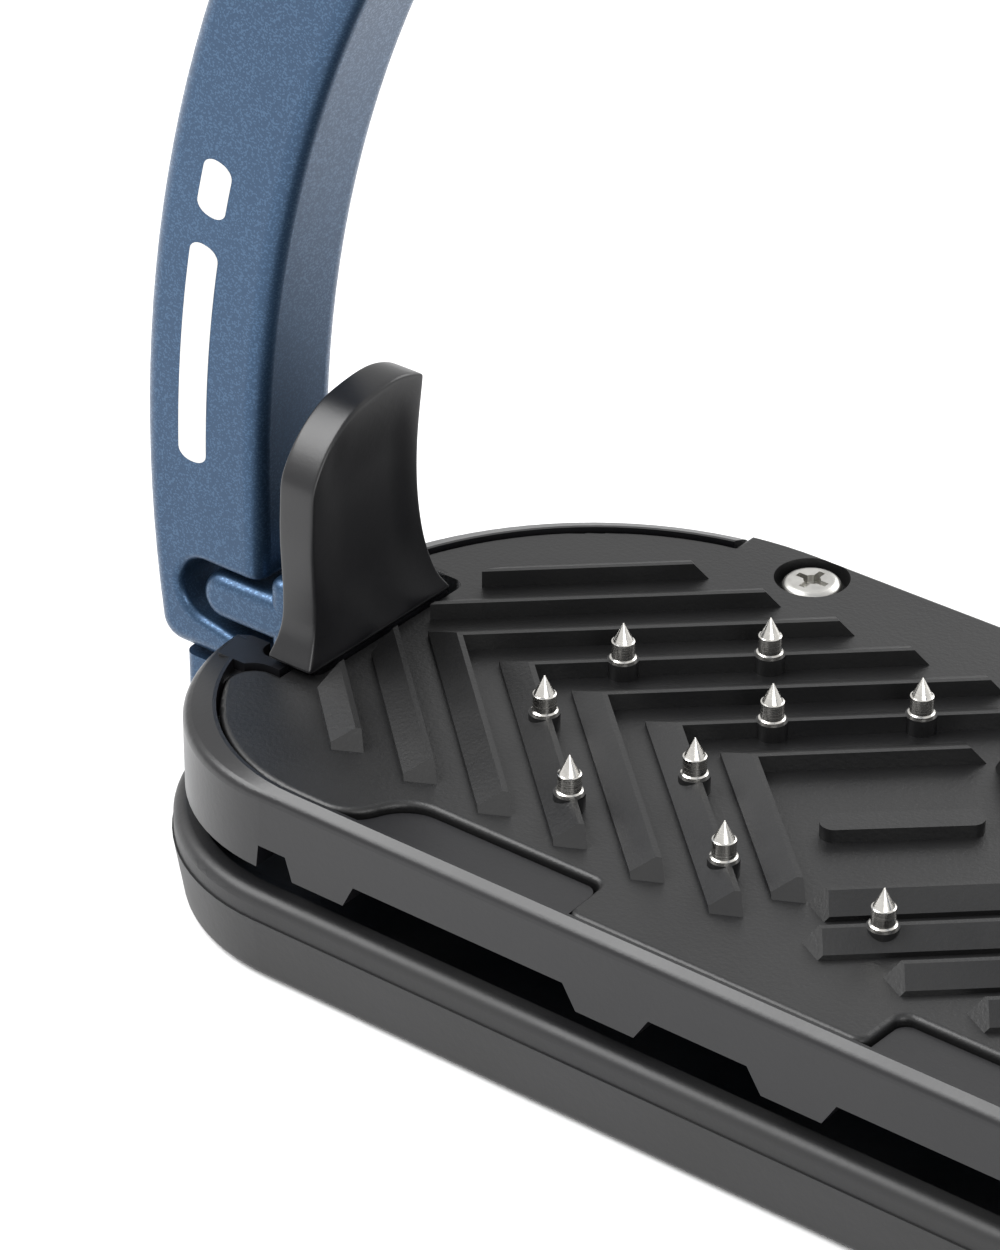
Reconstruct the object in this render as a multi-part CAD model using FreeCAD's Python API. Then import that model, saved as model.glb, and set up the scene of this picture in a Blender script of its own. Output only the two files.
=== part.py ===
import FreeCAD, Part
import math
import os
from FreeCAD import Vector

# Safety stirrup iron. Millimetres, +Z up, X along the tread, Y across it.
# The origin is on the underside of the base, below the middle of the arch.
# The arm that lets go is on the -X side and its release lever stands beside it.

# ---- shared --------------------------------------------------------------
same = 0.01                # places closer than this are one place
beyond = 200.0             # reach of a cutter past the whole iron
upright_share = 0.9        # Z share of an upright edge's direction

# ---- tread outline -------------------------------------------------------
tread_half = 61.0          # middle of the tread to its end
tread_near = 26.6          # arch plane to the straight edge on -Y
tread_far = 31.0           # arch plane to the straight edge on +Y
corner_near = 17.8         # plan radius of the two -Y corners
corner_far = 31.0          # plan radius of the two +Y corners

# ---- levels --------------------------------------------------------------
tray_height = 8.3          # top of the base tray's rim
tab_level = 10.2           # lower end of the skirt's tabs
notch_level = 12.3         # top of the skirt's notches
deck_under = 12.9          # underside of the tread bed's deck
deck_top = 15.1            # deck face that carries the plate
plate_top = 17.6           # floor between the chevrons
crease_level = 17.1        # outer edge of the bed's bevelled lip
lip_level = 17.8           # inner edge of the bed's bevelled lip
tab_top = 16.9             # flat tabs of the bed beside the plate

# ---- base tray and bar ---------------------------------------------------
tray_overhang = 1.2        # tray outside the tread bed
tray_wall = 2.2
tray_floor = 2.2
tray_foot_taper = 0.9      # how far the tray draws in at its foot
tray_line = 5.9            # height of the fine line round the tray
tray_step = 0.15           # how far the rim stands back above that line
tray_foot_round = 0.8
tray_rim_round = 1.1
bar_half_width = 11.0
bar_gap = 0.4              # bar to the walls of the tray and of the tread bed
bar_under = 2.4
bar_top = 9.4
bar_end_half_width = 5.0
heel_rise = 1.2            # underside of the bar's +X end above the rest of the bar
heel_under = bar_under + heel_rise
heel_in = 6.0
heel_out = 3.0
lip_top = 9.95             # blue lip under the arm
lip_under = 6.4
lip_short = 3.8            # arm's outer face to the end of the lip
lip_round = 1.2
lip_notch_drop = 1.4       # room under the lip in the tray's end wall
end_notch = 11.0           # length of the openings in the ends for the bar
bed_notch_gap = 1.5        # bar's end to the sides of the skirt's opening
tray_screw_in = 9.0        # tray screws from the tread's ends
tray_screw_y = 7.0
tray_screw_r = 1.5
tray_screw_shift = 4.0     # the -X screws stand further in, clear of the lever's well
tray_screw_gap = 0.2
tray_screw_hole = 4.0      # depth of its hole in the bar
tray_screw_length = 3.6
tray_sink = 1.6            # depth and spread of the countersink
tray_head = 1.5
tray_head_out = 1.45
tray_head_sunk = 0.1
tray_cross = 1.2           # half length, half width and depth of the cross in its head
tray_cross_half = 0.25
tray_cross_deep = 0.8

tray_screw_x = tread_half - tray_screw_in

# ---- arch ----------------------------------------------------------------
leg_gap = 0.6              # tread's end to a leg's inner face, at leg_level
leg_level = 27.0           # height where the legs stand furthest apart
leg_width = 12.7
leg_inside = tread_half + leg_gap
lip_reach = leg_inside + leg_width - lip_short
leg_thick = 10.0
inner_bow = 108.0          # radius of a leg's inner face
outer_bow = 125.0          # radius of a leg's outer face
shoulder_lean = 27.0       # degrees from upright of the straight shoulders
arch_top = 124.9           # inside of the crown
crown_flat = 12.0
leg_round = 1.6
leg_under = 10.3           # underside of the arm
leg_corner = 2.4

# ---- leather eye ---------------------------------------------------------
eye_length = 28.0          # takes a 25 mm stirrup leather
eye_height = 10.0
eye_rise = 7.6             # eye's floor above the inside of the crown
eye_floor = arch_top + eye_rise
eye_bar = 8.6
eye_cheek = 8.5
eye_thick = 11.0
eye_corner = 9.0
eye_spread = 8.0           # how far the eye widens down to the crown, each side
eye_start = 1.5            # foot of the eye above the inside of the crown
eye_slot_round = 2.5

# ---- hinge of the arm ----------------------------------------------------
hinge_level = 96.0
hinge_pin_r = 2.0
hinge_half = 6.5           # middle of the hinge to a cheek's outer face
knuckle_half = 3.2
hinge_gap = 0.3
knuckle_clear = 0.4        # radial room round a knuckle
hinge_fold = 5.5           # straight distance cleared for the fold
bush_wall = 0.9
run_clear = 0.05           # radial clearance of a turning fit
hinge_head_r = 3.3
hinge_head = 1.3
hinge_head_round = 0.5
hinge_screw_r = 0.9
hinge_screw_round = 0.6
hinge_screw_length = 4.5
hinge_screw_hole = 5.0
hinge_socket_r = 1.0
hinge_socket_deep = 0.8
spring_turns = 3
spring_gap = 0.3           # end of a spring to the moving piece beside it
spring_wire = 0.5          # radius of the arm spring's wire
spring_slip = 0.2          # pin to the inside of the spring
spring_room_r = 4.9
spring_low = knuckle_half - 2 * spring_wire * spring_turns - 2 * spring_gap

# ---- hook on the arm and tongue on the bar -------------------------------
tongue_short = 5.9         # arm's outer face to the tongue's nose
tongue_nose = leg_inside + leg_width - tongue_short
tongue_low = 14.4
tongue_high = 18.75
slot_end_gap = 2.3         # tongue's nose to the end of the slot
slot_over = 0.75           # slot above the tongue
slot_under = 0.5           # jaw below the tongue's path
slot_round = 0.8
slot_rim_over = 0.2        # lowest rim of the slot above the arm's rounded foot
tongue_round = 1.2
tongue_root = 1.5          # length of the tongue inside the post
post_in = 3.7              # tread's end to the post's inner face
post_inner = tread_half - post_in
post_gap = 0.7             # post to the arm's inner face
post_top = 20.6
post_round = 1.2
post_edge = 1.0

# ---- release lever -------------------------------------------------------
lever_in = 7.7             # tread's end to the lever's pivot
lever_x = tread_half - lever_in
lever_z = 6.6
lever_pin_r = 1.5
barrel_r = 3.1
barrel_half = 4.8
blade_inward = 2.4         # pivot to the face toward the rider's foot
blade_outward = 1.3
blade_front = lever_x - blade_inward
blade_back = lever_x + blade_outward
blade_near = 10.3
blade_far = 6.9
blade_top = 40.4
blade_round = 0.9
blade_foot = 0.3           # lower end of the blade above the deck's underside
blade_drop = 2.2           # shoulder of the blade below its top
blade_shoulder_r = 6.0
blade_tip_y = 3.9
blade_tip_rise = 0.4
blade_tip_r = 2.2
blade_heel_y = 2.9
blade_heel_rise = 7.0      # hollow of the far edge above the plate
blade_heel_r = 11.0
blade_toe_drop = 0.6
neck_in = 0.2              # neck narrower than the barrel, each end
lever_pin_in = 0.3
barrel_gap = 0.5
lever_well_half = 8.0      # well for the barrel in the bar
lever_spring_wire = 0.35   # radius of the lever springs' wire
lever_spring_turns = 3
lever_spring_slip = 0.15
claw_half = 2.2
claw_thick = 2.2
claw_short = 6.9           # arm's outer face to the claw's end
claw_reach = leg_inside + leg_width - claw_short
claw_nose = 2.4
claw_rise = 0.9
claw_root = 0.4            # claw past the pivot
claw_wall = 0.9            # barrel left round the pin
claw_tip_round = 0.4
claw_gap = 0.4             # claw to the sides of its tunnel
claw_stand_off = 0.35      # claw's nose below the arm's catch
catch_depth = 1.5
catch_clear = 0.4

# ---- tread plate ---------------------------------------------------------
skirt_wall = 2.2
seam_end = 2.4             # bed's visible lip outside the plate, at the ends
seam_near = 1.3            # the same on -Y
seam_far = 2.0             # the same on +Y
seam_corner_near = 18.0
seam_corner_far = 29.0
seam_gap = 0.3
plate_round = 0.5          # rounded upper edge of the plate
far_tip = 36.8             # where the bed's far lip ends and the plate reaches the edge
near_tab_in = 6.3          # bed's wide tabs on -Y, depth and place
near_tab_start = 14.2
near_tab_end = 32.8
near_tab_slope = 3.0       # sideways run of a tab's slanting ends
near_tab_lean = 0.33       # the same at the end nearest the middle
tab_round_inner = 1.1      # plan radius of the tab corners nearest the middle
tab_round_outer = 4.0      # plan radius of the tab corners toward the ends
well_side_near = 0.6       # lever's blade to the sides of its opening
well_side_far = 1.8
well_front = 0.4
well_back = 2.3            # room behind the blade for its tilt
well_round = 1.2
well_near = blade_near + well_side_near
well_far = blade_far + well_side_far
well_inner = blade_front - well_front
well_outer = blade_back + well_back
yoke_near = 9.2            # opening in the bed's end for the arm's post
yoke_margin = 1.1          # bed between that opening and the plate
yoke_in = 3.0              # lever's opening to the face of the plate's end
yoke_overlap = 1.5
yoke_round = 2.4           # plan radius of the plate's corners beside the bed's cheeks
cheek_round = 0.9
cheek_inset = 1.2          # the bed's shoulder inside the tread outline
crease_round = 1.0
seam_land = 0.3            # narrow flat along the inside of the lip
far_reach = 8.0            # depth of the plate's part that reaches the edge
notch_middle = (6.6, 4.6)  # skirt's middle notch, half width at its foot and top
# The skirt's other notches on each half: foot and top of one end, top and foot of the other.
notch_sides = ((10.9, 12.8, 33.6, 35.2), (39.6, 40.6, 43.4, 43.8))

# ---- chevrons ------------------------------------------------------------
chevron_pitch = 7.5
chevron_first = 13.9       # ridge apex nearest the middle
chevron_count = 7
chevron_angle = 42.6       # degrees between an arm and X
rib_height = 1.5
rib_width = 2.5
rib_land = 0.45
rib_foot = 0.45
rib_far = 22.0
rib_near = 17.2
rib_slope = 1.3            # length of the sloping end of a rib
rib_end_skew = 0.7         # how far the sloping end leans over the rib's width
rib_sunk = 0.3             # ribs start below the plate's floor
rib_stop = 1.4             # ribs stop short of the lever's opening
rib_start = well_inner - rib_stop
rib_stop_from = 5          # first chevron that would reach the opening
rib_back = 6.0             # length of an arm behind its apex, before it is trimmed
first_far = 12.4
first_near = 12.7
bar_mark = 13.0            # plain raised bar in the middle
bar_mark_width = 2.4
bar_mark_height = 1.2
bar_mark_round = 1.1
bar_mark_turn = 42.0       # degrees from X

# ---- studs ---------------------------------------------------------------
stud_r = 0.97
stud_cone = 1.7
stud_over = 3.4            # tip above the ridges
stud_flange_r = 1.12
stud_flange = 0.2
stud_fillet = 0.1
stud_edge = 0.12           # bevel where the cone starts, and its height
stud_edge_rise = 0.06
stud_point = 0.05          # blunt point and its height
stud_point_rise = 0.03
stud_neck = 0.15           # root thinner than the stud
stud_back = 0.15           # stud's axis behind the middle of the rib's land
stud_boss_r = 1.3
stud_root = 1.6            # length pressed into the plate
stud_inner_y = 5.2
stud_outer_y = 13.35
stud_rows = (1, 3)         # chevrons that carry studs, counted from the middle

# ---- plate screws and their recesses -------------------------------------
plate_screw_x = 28.3
plate_screw_y = 27.6
recess_r = 3.25
recess_depth = 1.7
screw_head_r = 2.6
screw_head = 1.5
screw_r = 1.25
screw_length = 6.0
insert_wall = 0.9
screw_gap = 0.1
screw_round = 0.8
screw_boss_wall = 1.0
screw_boss_drop = 2.0
cross_half = 1.5           # half length, half width, floor and pit of the cross
cross_wide = 0.3
cross_floor = 0.6
cross_pit = 0.75

# ---- cushioned tread -----------------------------------------------------
cushion_r = 7.0
cushion_x = 26.0
cushion_sunk = 1.8
cushion_gap = 0.3
cushion_bore = 2.4
guide_in = 19.0            # guides from the tread's ends
guide_x = tread_half - guide_in
guide_y = 6.0
guide_r = 1.5
guide_head_r = 2.7
guide_head = 1.7
guide_head_gap = 0.3
guide_short = 0.3          # guide screw's end below the deck's face
guide_slot = 1.6           # half length, half width and depth of the slot in its head
guide_slot_half = 0.35
guide_slot_deep = 0.7
guide_clear = 0.3          # lowered guide screw to the tray's floor
guide_insert_r = 2.4
guide_boss_r = 3.6
guide_boss_under = 11.5
insert_short = 0.2
sleeve_wall = 0.8
tread_travel = 1.5

# Face that a guide screw's head stops on.
guide_seat = tray_floor + guide_clear + tread_travel + guide_head

os.makedirs("parts", exist_ok=True)


# ---- shared helpers ------------------------------------------------------
def save(name, shape):
    """Write one sub-part."""
    if shape.ShapeType == "Compound" and len(shape.Solids) == 1:
        shape = shape.Solids[0]
    shape.exportStep("parts/" + name + ".step")


def block(x0, x1, y0, y1, z0, z1):
    return Part.makeBox(x1 - x0, y1 - y0, z1 - z0, Vector(x0, y0, z0))


def rod(x, y, z, radius, length, along=(0, 0, 1)):
    return Part.makeCylinder(radius, length, Vector(x, y, z), Vector(*along))


def flipped(shape):
    """The same piece at the other end of the tread."""
    return shape.mirror(Vector(0, 0, 0), Vector(1, 0, 0))


def tread_wire(half, near, far, r_near, r_far, z):
    """Closed plan outline: straight sides and ends joined by four arcs."""
    y_near = near + r_near
    y_far = far - r_far
    k = math.sqrt(0.5)
    a = Vector(-half + r_near, near, z)
    b = Vector(half - r_near, near, z)
    c = Vector(half, y_near, z)
    d = Vector(half, y_far, z)
    e = Vector(half - r_far, far, z)
    f = Vector(-half + r_far, far, z)
    g = Vector(-half, y_far, z)
    h = Vector(-half, y_near, z)
    corner_bc = Vector(half - r_near + r_near * k, y_near - r_near * k, z)
    corner_de = Vector(half - r_far + r_far * k, y_far + r_far * k, z)
    corner_fg = Vector(-half + r_far - r_far * k, y_far + r_far * k, z)
    corner_ha = Vector(-half + r_near - r_near * k, y_near - r_near * k, z)
    edges = [
        Part.makeLine(a, b),
        Part.Arc(b, corner_bc, c).toShape(),
        Part.makeLine(c, d),
        Part.Arc(d, corner_de, e).toShape(),
        Part.makeLine(e, f),
        Part.Arc(f, corner_fg, g).toShape(),
        Part.makeLine(g, h),
        Part.Arc(h, corner_ha, a).toShape(),
    ]
    return Part.Wire(edges)


def outline(offset, z):
    """Tread outline, moved inwards by offset."""
    return tread_wire(tread_half - offset, -tread_near + offset, tread_far - offset,
                      corner_near - offset, corner_far - offset, z)


def seam_line(inset, z):
    """Line where the plate meets the bed's lip, moved inwards by inset."""
    return tread_wire(tread_half - seam_end - inset, -tread_near + seam_near + inset,
                      tread_far - seam_far - inset, seam_corner_near - inset,
                      seam_corner_far - inset, z)


def upright_slab(wire, height):
    return Part.Face(wire).extrude(Vector(0, 0, height))


def plan_slab(offset, z0, z1):
    return upright_slab(outline(offset, z0), z1 - z0)


def tapered_slab(offset0, z0, offset1, z1):
    return Part.makeLoft([outline(offset0, z0), outline(offset1, z1)], True, True)


def rounded_block(x0, x1, y0, y1, z0, z1, radius):
    """Block with its four upright edges rounded."""
    shape = block(x0, x1, y0, y1, z0, z1)
    upright = []
    for edge in shape.Edges:
        if abs(edge.tangentAt(edge.FirstParameter).z) > upright_share:
            upright.append(edge)
    return shape.makeFillet(radius, upright)


def hull_prism(points_a, points_b):
    """Solid between two matching polygons whose sides are flat."""
    faces = [Part.Face(Part.makePolygon(points_a + points_a[:1]))]
    faces.append(Part.Face(Part.makePolygon(points_b + points_b[:1])))
    for i in range(len(points_a)):
        j = (i + 1) % len(points_a)
        side = [points_a[i], points_a[j], points_b[j], points_b[i], points_a[i]]
        faces.append(Part.Face(Part.makePolygon(side)))
    solid = Part.makeSolid(Part.makeShell(faces))
    if solid.Volume < 0:
        solid.reverse()
    return solid


def profile_solid(points, half):
    """Polygon in XZ made into a plate half to each side of the arch plane."""
    wire = Part.makePolygon([Vector(x, -half, z) for x, z in points + points[:1]])
    return Part.Face(wire).extrude(Vector(0, 2 * half, 0))


def rounded_polygon(points):
    """Closed wire in YZ from (y, z, corner radius), each corner rounded by a tangent arc."""
    count = len(points)
    edges = []
    ends = []
    for i in range(count):
        y, z, radius = points[i]
        here = Vector(0, y, z)
        before = Vector(0, points[i - 1][0], points[i - 1][1])
        after = Vector(0, points[(i + 1) % count][0], points[(i + 1) % count][1])
        if radius == 0:
            ends.append((here, here, None))
            continue
        to_before = (before - here).normalize()
        to_after = (after - here).normalize()
        half_angle = to_before.getAngle(to_after) / 2
        reach = radius / math.tan(half_angle)
        bisector = (to_before + to_after).normalize()
        centre = here + bisector * (radius / math.sin(half_angle))
        ends.append((here + to_before * reach, here + to_after * reach, centre - bisector * radius))
    for i in range(count):
        start, end, middle = ends[i]
        if middle is not None:
            edges.append(Part.Arc(start, middle, end).toShape())
        edges.append(Part.makeLine(end, ends[(i + 1) % count][0]))
    return Part.Wire(edges)


def coil(x, y, z, mean_r, wire_r, turns):
    """Close-wound spring about a Y axis, starting at y: a sleeve with a round rib for each turn."""
    inner = mean_r - wire_r
    edges = []
    for i in range(turns):
        low = 2 * wire_r * i
        start = Vector(mean_r, low, 0)
        middle = Vector(mean_r + wire_r, low + wire_r, 0)
        end = Vector(mean_r, low + 2 * wire_r, 0)
        edges.append(Part.Arc(start, middle, end).toShape())
    length = 2 * wire_r * turns
    edges.append(Part.makeLine(Vector(mean_r, length, 0), Vector(inner, length, 0)))
    edges.append(Part.makeLine(Vector(inner, length, 0), Vector(inner, 0, 0)))
    edges.append(Part.makeLine(Vector(inner, 0, 0), Vector(mean_r, 0, 0)))
    sleeve = Part.Face(Part.Wire(edges)).revolve(Vector(0, 0, 0), Vector(0, 1, 0), 360)
    sleeve.translate(Vector(x, y, z))
    return sleeve


# ---- arch geometry -------------------------------------------------------
lean = math.radians(shoulder_lean)
shoulder_dir = Vector(math.sin(lean), 0, math.cos(lean))
shoulder_in = Vector(math.cos(lean), 0, -math.sin(lean))
inner_centre_x = inner_bow - leg_inside
outer_centre_x = outer_bow - leg_inside - leg_width


def leg_point(bow, centre_x, z):
    """Point of a leg's face at height z, on the -X side."""
    rise = z - leg_level
    return Vector(centre_x - math.sqrt(bow * bow - rise * rise), 0, z)


inner_shoulder = leg_point(inner_bow, inner_centre_x, leg_level + inner_bow * math.sin(lean))
outer_shoulder = leg_point(outer_bow, outer_centre_x, leg_level + outer_bow * math.sin(lean))
crown_run = -crown_flat / 2 - inner_shoulder.x
crown_rise = arch_top - inner_shoulder.z
crown_r = (crown_run * math.cos(lean) - crown_rise * math.sin(lean)) / (1 - math.sin(lean))
crown_centre = Vector(-crown_flat / 2, 0, arch_top - crown_r)
shoulder_width = (inner_shoulder - outer_shoulder).dot(shoulder_in)
crown_outer_r = crown_r + shoulder_width
crown_outer = crown_centre.z + crown_outer_r


def shoulder_x(start, z):
    return start.x + (z - start.z) * math.tan(lean)


hinge_x = (shoulder_x(inner_shoulder, hinge_level) + shoulder_x(outer_shoulder, hinge_level)) / 2
hinge = Vector(hinge_x, 0, hinge_level)
knuckle_r = shoulder_width / 2
cheek_clear_r = knuckle_r + knuckle_clear


def crown_arc(radius):
    """Arc of the crown on the -X side, from the shoulder to the top."""
    start = crown_centre - shoulder_in * radius
    turn = (math.pi / 2 + lean) / 2 + math.pi / 2 - lean
    middle = crown_centre + Vector(math.cos(turn) * radius, 0, math.sin(turn) * radius)
    end = crown_centre + Vector(0, 0, radius)
    return start, middle, end


def half_band(z_low):
    """One leg, shoulder and half the crown, with rounded long edges, on the -X side."""
    in_start, in_mid, in_end = crown_arc(crown_r)
    out_start, out_mid, out_end = crown_arc(crown_outer_r)
    in_low = Vector(-leg_inside, 0, z_low)
    in_wide = Vector(-leg_inside, 0, leg_level)
    in_half = leg_point(inner_bow, inner_centre_x, (leg_level + inner_shoulder.z) / 2)
    out_low = leg_point(outer_bow, outer_centre_x, z_low)
    out_half = leg_point(outer_bow, outer_centre_x, (z_low + outer_shoulder.z) / 2)
    in_top = Vector(0, 0, arch_top)
    out_top = Vector(0, 0, crown_outer)
    edges = [
        Part.makeLine(in_low, in_wide),
        Part.Arc(in_wide, in_half, inner_shoulder).toShape(),
        Part.makeLine(inner_shoulder, in_start),
        Part.Arc(in_start, in_mid, in_end).toShape(),
        Part.makeLine(in_end, in_top),
        Part.makeLine(in_top, out_top),
        Part.makeLine(out_top, out_end),
        Part.Arc(out_end, out_mid, out_start).toShape(),
        Part.makeLine(out_start, outer_shoulder),
        Part.Arc(outer_shoulder, out_half, out_low).toShape(),
        Part.makeLine(out_low, in_low),
    ]
    face = Part.Face(Part.Wire(edges))
    face.translate(Vector(0, -leg_thick / 2, 0))
    solid = face.extrude(Vector(0, leg_thick, 0))
    return round_band(solid, z_low)


def round_band(solid, z_low):
    """Round the outer lower corner first, then every long edge."""
    corner = []
    for edge in solid.Edges:
        mid = edge.CenterOfMass
        low = abs(mid.z - z_low) < same
        if low and mid.x < -leg_inside - leg_width / 2 and abs(mid.y) < same:
            corner.append(edge)
    solid = solid.makeFillet(leg_corner, corner)
    long_edges = []
    for edge in solid.Edges:
        mid = edge.CenterOfMass
        flat = edge.BoundBox.YLength < same
        if flat and abs(abs(mid.y) - leg_thick / 2) < same and abs(mid.x) > same:
            long_edges.append(edge)
    return solid.makeFillet(leg_round, long_edges)


def shoulder_block(p0, p1, w0, w1, half):
    """Block in the shoulder's own directions: p along it, w towards the inside."""
    corners = []
    for p, w in ((p0, w0), (p1, w0), (p1, w1), (p0, w1)):
        point = hinge + shoulder_dir * p + shoulder_in * w
        corners.append((point.x, point.z))
    return profile_solid(corners, half)


def hinge_rod(radius, y0, y1):
    return rod(hinge.x, y0, hinge.z, radius, y1 - y0, (0, 1, 0))


# ---- arm -----------------------------------------------------------------
def hook_cut():
    """Slot that takes the tongue. Its floor slopes so that the jaw clears the tongue as it swings."""
    top = tongue_high + slot_over
    nose = Vector(-tongue_nose, 0, tongue_low)
    path_r = (nose - hinge).Length + slot_under

    def path_z(x):
        return hinge.z - math.sqrt(path_r * path_r - (x - hinge.x) ** 2)

    nose_z = path_z(-tongue_nose)
    mouth_z = path_z(-leg_inside)
    slope = math.atan((nose_z - mouth_z) / (tongue_nose - leg_inside))
    end_x = -tongue_nose - slot_end_gap
    # The end is a circle tangent to the level top and to the sloping floor.
    end_height = top - nose_z - slot_end_gap * math.tan(slope)
    r = end_height * math.cos(slope) / (1 + math.cos(slope) - math.sin(slope))
    centre = Vector(end_x + r, 0, top - r)
    foot = centre + Vector(-math.sin(slope), 0, -math.cos(slope)) * r
    mouth_x = -leg_inside + 4.0
    run = (mouth_x - foot.x) / math.cos(slope)
    a = Vector(mouth_x, 0, top)
    b = Vector(centre.x, 0, top)
    c = Vector(end_x, 0, centre.z)
    e = foot + Vector(math.cos(slope), 0, -math.sin(slope)) * run
    edges = [
        Part.makeLine(a, b),
        Part.Arc(b, c, foot).toShape(),
        Part.makeLine(foot, e),
        Part.makeLine(e, a),
    ]
    face = Part.Face(Part.Wire(edges))
    face.translate(Vector(0, -leg_thick, 0))
    return face.extrude(Vector(0, 2 * leg_thick, 0))


def make_arm():
    arm = half_band(leg_under)
    arm = arm.cut(shoulder_block(0, beyond, -beyond, beyond, leg_thick))
    side_cut = hinge_rod(cheek_clear_r, -leg_thick, leg_thick)
    fold = shoulder_block(-hinge_fold, 1, -beyond, 0, leg_thick)
    side_cut = side_cut.fuse(fold)
    side_cut = side_cut.cut(block(-beyond, 0, -knuckle_half, knuckle_half, 0, beyond))
    arm = arm.cut(side_cut)
    arm = arm.cut(fold.cut(hinge_rod(knuckle_r, -leg_thick, leg_thick)))
    arm = arm.fuse(hinge_rod(knuckle_r, -knuckle_half, knuckle_half)).removeSplitter()
    arm = arm.cut(hinge_rod(spring_room_r, spring_low, knuckle_half + 1))
    arm = arm.cut(hinge_rod(hinge_pin_r + run_clear + bush_wall, -leg_thick, leg_thick))
    slot = hook_cut()
    arm = arm.cut(slot)
    rims = []
    for edge in arm.Edges:
        box = edge.BoundBox
        flat = box.YLength < same and abs(abs(box.YMin) - leg_thick / 2) < same
        in_slot = box.ZMin > leg_under + leg_round + slot_rim_over
        if flat and in_slot and box.ZMax < tongue_high + slot_over + same:
            rims.append(edge)
    arm = arm.makeFillet(slot_round, rims)
    catch_half = claw_half + catch_clear
    catch = block(-claw_reach - catch_clear, -claw_reach + claw_nose + catch_clear, -catch_half,
                  catch_half, leg_under - 1, leg_under + catch_depth)
    return arm.cut(catch)


# ---- main frame ----------------------------------------------------------
def make_eye():
    """Loop for the leather, drawn in towards its top and blended into the crown."""
    top = eye_floor + eye_height + eye_bar
    half = eye_length / 2 + eye_cheek
    low = arch_top + eye_start
    wide = half + eye_spread
    corners = [(-wide, low), (-half, top), (half, top), (wide, low)]
    shape = profile_solid(corners, eye_thick / 2)
    upper = []
    for edge in shape.Edges:
        mid = edge.CenterOfMass
        if abs(mid.z - top) < same and abs(mid.y) < same and edge.BoundBox.XLength < same:
            upper.append(edge)
    shape = shape.makeFillet(eye_corner, upper)
    rims = []
    for edge in shape.Edges:
        mid = edge.CenterOfMass
        if abs(abs(mid.y) - eye_thick / 2) < same and mid.z > low + same:
            rims.append(edge)
    return shape.makeFillet(leg_round, rims)


def eye_cut():
    """Slot for the leather, with rounded mouths on both faces."""
    half = eye_length / 2
    shape = block(-half, half, -eye_thick, eye_thick, eye_floor, eye_floor + eye_height)
    corners = [e for e in shape.Edges if e.BoundBox.YLength > eye_thick]
    return shape.makeFillet(eye_slot_round, corners)


def make_post():
    """Post and tongue that carry the arm's hook."""
    outer = leg_inside - post_gap
    half = leg_thick / 2
    post = rounded_block(-outer, -post_inner, -half, half, bar_top - 2, post_top, post_round)
    top_edges = [e for e in post.Edges if abs(e.CenterOfMass.z - post_top) < same]
    post = post.makeFillet(post_edge, top_edges)
    nose_r = (tongue_high - tongue_low) / 2
    level = (tongue_high + tongue_low) / 2
    tongue = block(-tongue_nose + nose_r, -outer + tongue_root, -half, half, tongue_low, tongue_high)
    nose = rod(-tongue_nose + nose_r, -half, level, nose_r, 2 * half, (0, 1, 0))
    tongue = tongue.fuse(nose).removeSplitter()
    rims = []
    for edge in tongue.Edges:
        mid = edge.CenterOfMass
        if abs(abs(mid.y) - half) < same and mid.x < -outer + 1:
            rims.append(edge)
    tongue = tongue.makeFillet(tongue_round, rims)
    return post.fuse(tongue)


def make_bar():
    """Bar under the tread, with the lip under the arm and the well for the lever."""
    inner_offset = max(tray_wall - tray_overhang, skirt_wall) + bar_gap
    end = tread_half - inner_offset
    bar = block(-end, end, -bar_half_width, bar_half_width, bar_under, bar_top)
    bar = bar.common(plan_slab(inner_offset, bar_under, bar_top))
    half = bar_end_half_width
    lip = rounded_block(-lip_reach, -post_inner, -half, half, lip_under, lip_top, lip_round)
    bar = bar.fuse(lip)
    heel = block(end - heel_in, leg_inside + heel_out, -half, half, heel_under, bar_top)
    bar = bar.fuse(heel)
    well_r = barrel_r + barrel_gap
    well = block(-lever_x - well_r, -lever_x + well_r, -lever_well_half, lever_well_half,
                 bar_under - 1, bar_top + 1)
    bar = bar.cut(well)
    for x in (-cushion_x, 0, cushion_x):
        bar = bar.cut(rod(x, 0, bar_top - cushion_sunk, cushion_r + cushion_gap, beyond))
    head_room = guide_head_r + guide_head_gap
    for x, y in guide_places():
        bar = bar.cut(rod(x, y, bar_under - 1, head_room, guide_seat - bar_under + 1))
        bar = bar.cut(rod(x, y, guide_seat - 1, guide_r + run_clear + sleeve_wall, beyond))
    for x, y in tray_screw_places():
        bar = bar.cut(rod(x, y, bar_under - 1, tray_screw_r, tray_screw_hole + 1))
    return bar


def make_frame():
    left = half_band(leg_under)
    left = left.cut(shoulder_block(-beyond, 0, -beyond, beyond, leg_thick))
    relief = shoulder_block(-1, hinge_fold, -beyond, 0, leg_thick)
    left = left.cut(relief.cut(hinge_rod(knuckle_r, -leg_thick, leg_thick)))
    cheeks = hinge_rod(knuckle_r, -hinge_half, hinge_half)
    left = left.fuse(cheeks)
    gap = knuckle_half + hinge_gap
    left = left.cut(hinge_rod(cheek_clear_r, -gap, gap))
    left = left.cut(shoulder_block(-beyond, hinge_fold, -beyond, knuckle_r, gap))
    right = flipped(half_band(lip_under))
    frame = left.fuse([right, make_eye(), make_post(), make_bar()]).removeSplitter()
    frame = frame.cut(eye_cut())
    frame = frame.cut(hinge_rod(hinge_pin_r, -leg_thick, leg_thick))
    frame = frame.cut(pivot_rod(lever_pin_r, bar_half_width + 1))
    tunnel = block(-lip_reach - 1, -lever_x, -claw_half - claw_gap, claw_half + claw_gap,
                   bar_under - 1, lip_top + same)
    return frame.cut(tunnel)


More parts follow.
